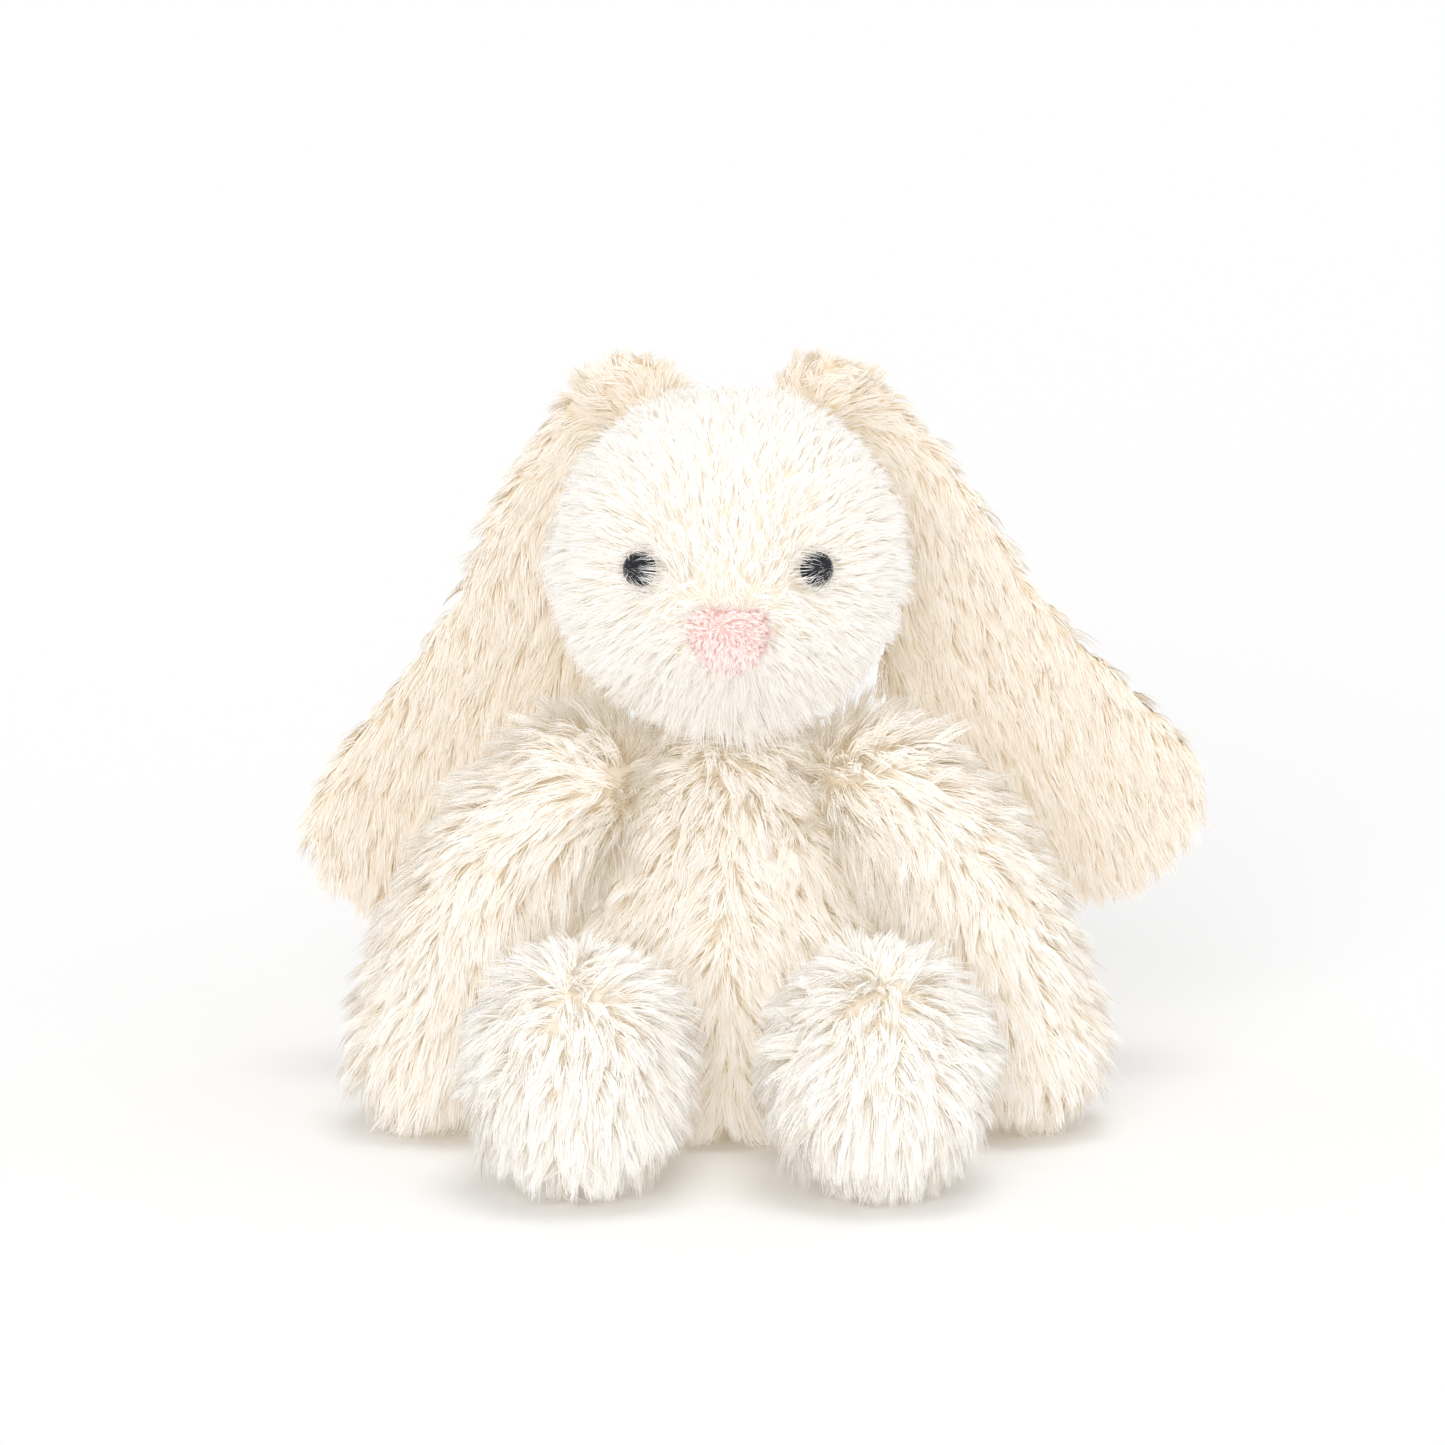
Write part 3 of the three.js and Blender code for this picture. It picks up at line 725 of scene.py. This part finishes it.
def make_arm(side):
    panels = [f"arm_{face}_{side}" for face in ("inner", "outer")]
    shoulder = joint_place(f"arm_{side}_raise")
    paw = paw_place(side)
    source = np.array([0.5 * (NECK[0] + shoulder[0]), shoulder[1] + 4 * MM, shoulder[2] - 12 * MM])
    pile = Pile(
        along_limb(shoulder, paw, source),
        lambda points: BODY_PILE + near(shoulder, 26 * MM, 5 * MM)(points),
        lift=(60, 20),
        width=0.33 * MM,
        stand=near(shoulder, 22 * MM, 8),
    )
    skin = puffed(skin_of([*panels, f"arm_stuffing_{side}"]), near(shoulder, 24 * MM, 3 * MM))
    for piece in dress(panels, skin, pile, 31, (WARM, BACKING)):
        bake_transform(piece)


def make_leg(side):
    panels = [f"leg_{face}_{side}" for face in ("inner", "outer")]
    hip = joint_place(f"leg_{side}_lift")
    low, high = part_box(f"leg_stuffing_{side}")
    whorl = np.array([hip[0] + SIDES[side] * 9 * MM, low.y + 12 * MM, high.z + 2 * MM])
    pile = Pile(
        foot_comb(whorl, hip),
        even(BODY_PILE),
        lift=(62, 20),
        stand=near(whorl, 9 * MM, 8),
        messy=0.45,
    )
    skin = skin_of([*panels, f"leg_stuffing_{side}"])
    for piece in dress(panels, skin, pile, 41, (CREAM, BACKING)):
        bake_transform(piece)


def spread_ear(skin, pivot, tip):
    """An ear's soft edges: the inner one drawn in behind the cheek, the outer one flared near the tip."""
    points, normals, triangles = skin
    axis = unit(tip - pivot)
    inwards = unit(np.cross(axis, [0, 1.0, 0]))
    inwards = inwards if inwards[0] * (tip - pivot)[0] < 0 else -inwards
    down = (points - pivot) @ axis
    aside = (points - pivot) @ inwards
    by_cheek = np.exp(-(((down - 76 * MM) / (34 * MM)) ** 2))
    by_tip = np.exp(-(((down - 122 * MM) / (32 * MM)) ** 2))
    inner = 8 * MM * np.clip(aside / (20 * MM), 0, 1) * by_cheek
    outer = 8 * MM * np.clip(-aside / (16 * MM), 0, 1) * by_tip
    backwards = np.array([0, 0.25, 0])
    moved = points + inner[:, None] * (inwards + backwards) - outer[:, None] * inwards
    return moved, normals, triangles


def make_ear(side):
    panels = [f"ear_{face}_{side}" for face in ("front", "back")]
    pivot = joint_place(f"ear_{side}_lift")
    low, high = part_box(f"ear_back_{side}")
    tip = np.array([high.x if side == "left" else low.x, high.y, low.z])
    tip[0] -= SIDES[side] * 16 * MM
    source = np.array([0.7 * pivot[0] + 0.3 * NECK[0], pivot[1], pivot[2] - 14 * MM])
    pile = Pile(
        along_limb(pivot, tip, source),
        lambda points: EAR_PILE - near(pivot, 26 * MM, 2 * MM)(points),
        lift=(50, 14),
        messy=0.25,
        gather=0.5,
        uneven=0.45,
        stand=near(pivot, 26 * MM, -12),
    )
    skin = spread_ear(skin_of(panels, voxel=1.5 * MM, smooth=6, sink=1.4 * MM), pivot, tip)
    for piece in dress(panels, skin, pile, 53, (EAR_SHADED_FUR, BACKING)):
        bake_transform(piece)


def make_tail():
    heart = centre_of("tail_stuffing")
    root = heart + np.array([0, -20 * MM, 4 * MM])
    pile = Pile(lambda points, normals: pull_from(points, root) + 0.2 * DOWN, even(11 * MM), lift=(66, 40))
    skin = skin_of(["tail_cover", "tail_stuffing"], voxel=1.5 * MM, smooth=8, sink=3.5 * MM)
    for piece in dress(["tail_cover"], skin, pile, 61, (WARM, BACKING)):
        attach(piece, "torso")


def make_nose():
    skin = skin_of(["nose_patch"], voxel=0.7 * MM, smooth=5, sink=0.2 * MM)
    pile = Pile(
        lambda points, normals: pull_from(points, NOSE_CENTRE) + 0.3 * DOWN,
        even(2.0 * MM),
        spacing=0.8 * MM,
        per_lock=7,
        lift=(60, 30),
        width=0.2 * MM,
    )
    for piece in dress(["nose_patch"], skin, pile, 71, (VELVET, PINK_BACKING)):
        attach(piece, "head")


# ---- Eyes ----

def eye_seat(side):
    """The middle of an eye's flat back and the direction that the eye looks in."""
    points, _, _ = arrays_of(frame["nodes"][f"eye_{side}"].data)
    middle = (points.min(axis=0) + points.max(axis=0)) / 2
    outward = np.linalg.svd(points - points.mean(axis=0))[2][0]
    outward = outward if outward[1] < 0 else -outward
    reach = ((points - middle) @ outward).max()
    return middle + outward * (reach - EYE_DOME), outward


def lathe(name, profile, base, outward, around, material, closed=False):
    """A turned piece: its profile gives the distance from the axis and the height over the base."""
    across = unit(np.cross(outward, [0, 0, 1.0]))
    over = np.cross(across, outward)
    angles = np.linspace(0, 2 * math.pi, around, endpoint=False)
    circle = across * np.cos(angles)[:, None] + over * np.sin(angles)[:, None]
    rings = [base + circle * distance + outward * height for distance, height in profile]
    turns = len(profile) if closed else len(profile) - 1
    quads = []
    for k in range(turns):
        upper = (k + 1) % len(profile)
        for i in range(around):
            j = (i + 1) % around
            quads.append([k * around + i, k * around + j, upper * around + j, upper * around + i])
    mesh = mesh_from(name, np.concatenate(rings), NO_TRIANGLES, np.array(quads))
    mesh.materials.append(material)
    return link(name, mesh)


def make_eye(side):
    """A smooth glossy dome with a rounded rim and a short shank."""
    base, outward = eye_seat(side)
    shank_radius, shank_length, rim = 1.5 * MM, 6 * MM, 0.9 * MM
    shank = [(0.01 * MM, -shank_length), (shank_radius, -shank_length), (shank_radius, -rim)]
    edge = [(0.93 * EYE_RADIUS, -rim), (EYE_RADIUS, -rim / 2)]
    dome = [(EYE_RADIUS * math.cos(t), EYE_DOME * math.sin(t)) for t in np.linspace(0, 0.499 * math.pi, 16)]
    piece = lathe(f"eye_{side}_bead", [*shank, *edge, *dome], base, outward, 48, BEAD)
    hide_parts(f"eye_{side}")
    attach(piece, "head")


def make_washer(side):
    """The dished lock washer that holds an eye's shank."""
    middle = centre_of(f"eye_washer_{side}")
    _, outward = eye_seat(side)
    outer, bore, half = 5.9 * MM, 2.1 * MM, 0.45 * MM
    ring = [(bore, -half), (0.6 * outer, -half), (outer, -1.4 * half), (outer, 0.2 * half)]
    ring += [(0.6 * outer, half), (1.3 * bore, 1.3 * half), (bore, half)]
    piece = lathe(f"eye_washer_{side}_ring", ring, middle, outward, 40, WASHER, closed=True)
    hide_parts(f"eye_washer_{side}")
    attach(piece, "head")


def make_lashes(side):
    """Fine pale strands that stand round an eye and lean over its rim."""
    eye, outward = eye_seat(side)
    across = unit(np.cross(outward, [0, 0, 1.0]))
    over = np.cross(across, outward)
    count, stand, cover, stray = 190, 6.4 * MM, 6.5 * MM, 1.5
    angle = RNG.uniform(0, 2 * math.pi, count)
    ring = across * np.cos(angle)[:, None] + over * np.sin(angle)[:, None]
    start = eye + ring * RNG.uniform(4.4, 6.0, (count, 1)) * MM - outward * 2.5 * MM
    # The strands at the eye's outer and lower side lean furthest over it.
    lean = 0.3 + 0.3 * np.abs(np.cos(angle)) + 0.3 * (np.sin(angle) < 0)
    reach = RNG.uniform(0.1, 1.0, count) ** 1.3 * lean
    rise = outward * stand * ALONG**0.7
    inward = -ring[:, None, :] * (reach * cover)[:, None, None] * ALONG**2
    sway = across * (RNG.normal(0, stray, (count, 1, 1)) * MM) * ALONG**1.5
    line = start[:, None, :] + rise + inward + sway
    normal = np.broadcast_to(outward, (count, 3))
    no_skin = (np.empty((0, 3)), np.empty((0, 3)), NO_TRIANGLES)
    pile = Pile(None, None, width=0.17 * MM)
    strands = (line, normal, np.arange(count))
    piece = furry_piece(f"eye_{side}_lashes", no_skin, NO_TRIANGLES, strands, pile, (CREAM, BACKING))
    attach(piece, "head")


# ---- Inside: fibre filling and the pouch of pellets ----


def make_filling(node, body, seed, bend=None):
    """A lumpy wad of loose fibre, which rides on its body if no bend is given and stays where it is built if
    one is.
    """
    points, normals, triangles = skin_of([node], voxel=2.0 * MM, smooth=4, sink=1.0 * MM)
    lumps = drift(points, 13 * MM, seed)[:, :1] * 0.5 * MM
    tufts = drift(points, 5 * MM, seed + 1)[:, :1] * 0.3 * MM
    mesh = mesh_from(f"{node}_wad", points + normals * (lumps + tufts), triangles)
    mesh.materials.append(FIBRE)
    piece = link(f"{node}_wad", mesh)
    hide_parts(node)
    if bend is None:
        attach(piece, body)
    else:
        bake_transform(piece)


def make_fillings():
    make_filling("head_stuffing", "head", 101)
    make_filling("torso_stuffing", "torso", 103)
    make_filling("tail_stuffing", "torso", 105)
    for side in SIDES:
        make_filling(f"arm_stuffing_{side}", f"arm_{side}", 107, shoulder_bend(side))
        make_filling(f"leg_stuffing_{side}", f"leg_{side}", 109, hip_bend(side))


def make_pouch():
    """The creased cloth bag that the pellets are in."""
    nodes = ["pellet_pouch", "pellets"]
    points, normals, triangles = skin_of(nodes, voxel=1.0 * MM, smooth=3, sink=0.5 * MM)
    creases = np.abs(drift(points, 8 * MM, 111)[:, :1]) * 0.5 * MM
    mesh = mesh_from("pouch_bag", points - normals * creases, triangles)
    mesh.materials.append(POUCH_WEAVE)
    bag = link("pouch_bag", mesh)
    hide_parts("pellet_pouch")
    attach(bag, "torso")


def make_pellets():
    """Small round pellets, heaped to fill the bag."""
    radius, cloth = 1.35 * MM, 1.8 * MM
    low, high = (np.array(corner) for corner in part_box("pellets"))
    middle, half = (low + high) / 2, (high - low) / 2 - cloth
    pitch = 2.1 * radius
    steps = [np.arange(-math.floor(reach / pitch), math.floor(reach / pitch) + 1) * pitch for reach in half]
    grid = np.stack(np.meshgrid(*steps, indexing="ij"), axis=-1).reshape(-1, 3)
    inside = np.sum((grid / half) ** 2, axis=1) < 1
    places = middle + grid[inside]
    ball = bmesh.new()
    bmesh.ops.create_icosphere(ball, subdivisions=2, radius=radius)
    shape = bpy.data.meshes.new("pellet")
    ball.to_mesh(shape)
    ball.free()
    points, _, triangles = arrays_of(shape)
    vertices = (places[:, None, :] + points[None, :, :]).reshape(-1, 3)
    faces = (np.arange(len(places))[:, None, None] * len(points) + triangles[None, :, :]).reshape(-1, 3)
    mesh = mesh_from("pellet_heap", vertices, faces)
    mesh.materials.append(PELLET)
    heap = link("pellet_heap", mesh)
    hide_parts("pellets")
    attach(heap, "torso")


# ---- Stage ----


FLOOR_REACH = 3.0


def make_floor():
    corners = FLOOR_REACH * np.array([[-1, -1, 0], [1, -1, 0], [1, 1, 0], [-1, 1, 0]])
    mesh = mesh_from("floor", corners, NO_TRIANGLES, np.array([[0, 1, 2, 3]]))
    material, _, _, shader = new_material("floor")
    shader.inputs["Base Color"].default_value = (0.98, 0.98, 0.98, 1)
    shader.inputs["Roughness"].default_value = 0.8
    mesh.materials.append(material)
    link("floor", mesh)


def make_lights():
    """An even white surround and three broad lamps."""
    world = bpy.data.worlds.new("studio")
    bpy.context.scene.world = world
    world.use_nodes = True
    background = world.node_tree.nodes["Background"]
    background.inputs["Color"].default_value = (1, 1, 1, 1)
    background.inputs["Strength"].default_value = 0.64
    add_sun("key", (-0.2, -1.0, 0.4), 1.15, 36)
    add_sun("fill", (0.8, -0.9, 0.3), 0.35, 60)
    add_sun("top", (0.1, -0.1, 1.0), 0.75, 30)
    bpy.context.scene.view_settings.view_transform = "Standard"
    bpy.context.scene.view_settings.look = "None"


def add_sun(name, towards, strength, softness):
    """A far lamp, softness degrees across, that lights the floor evenly up to the picture's top edge."""
    light = bpy.data.lights.new(name, "SUN")
    light.energy = strength
    light.angle = math.radians(softness)
    obj = link(name, light)
    obj.rotation_euler = Vector(towards).to_track_quat("Z", "Y").to_euler()


# ---- Everything, in order ----

make_camera()
make_head()
make_torso()
for side in SIDES:
    make_arm(side)
    make_leg(side)
    make_ear(side)
    make_eye(side)
    make_lashes(side)
    make_washer(side)
make_tail()
make_nose()
make_fillings()
make_pouch()
make_pellets()
make_floor()
make_lights()
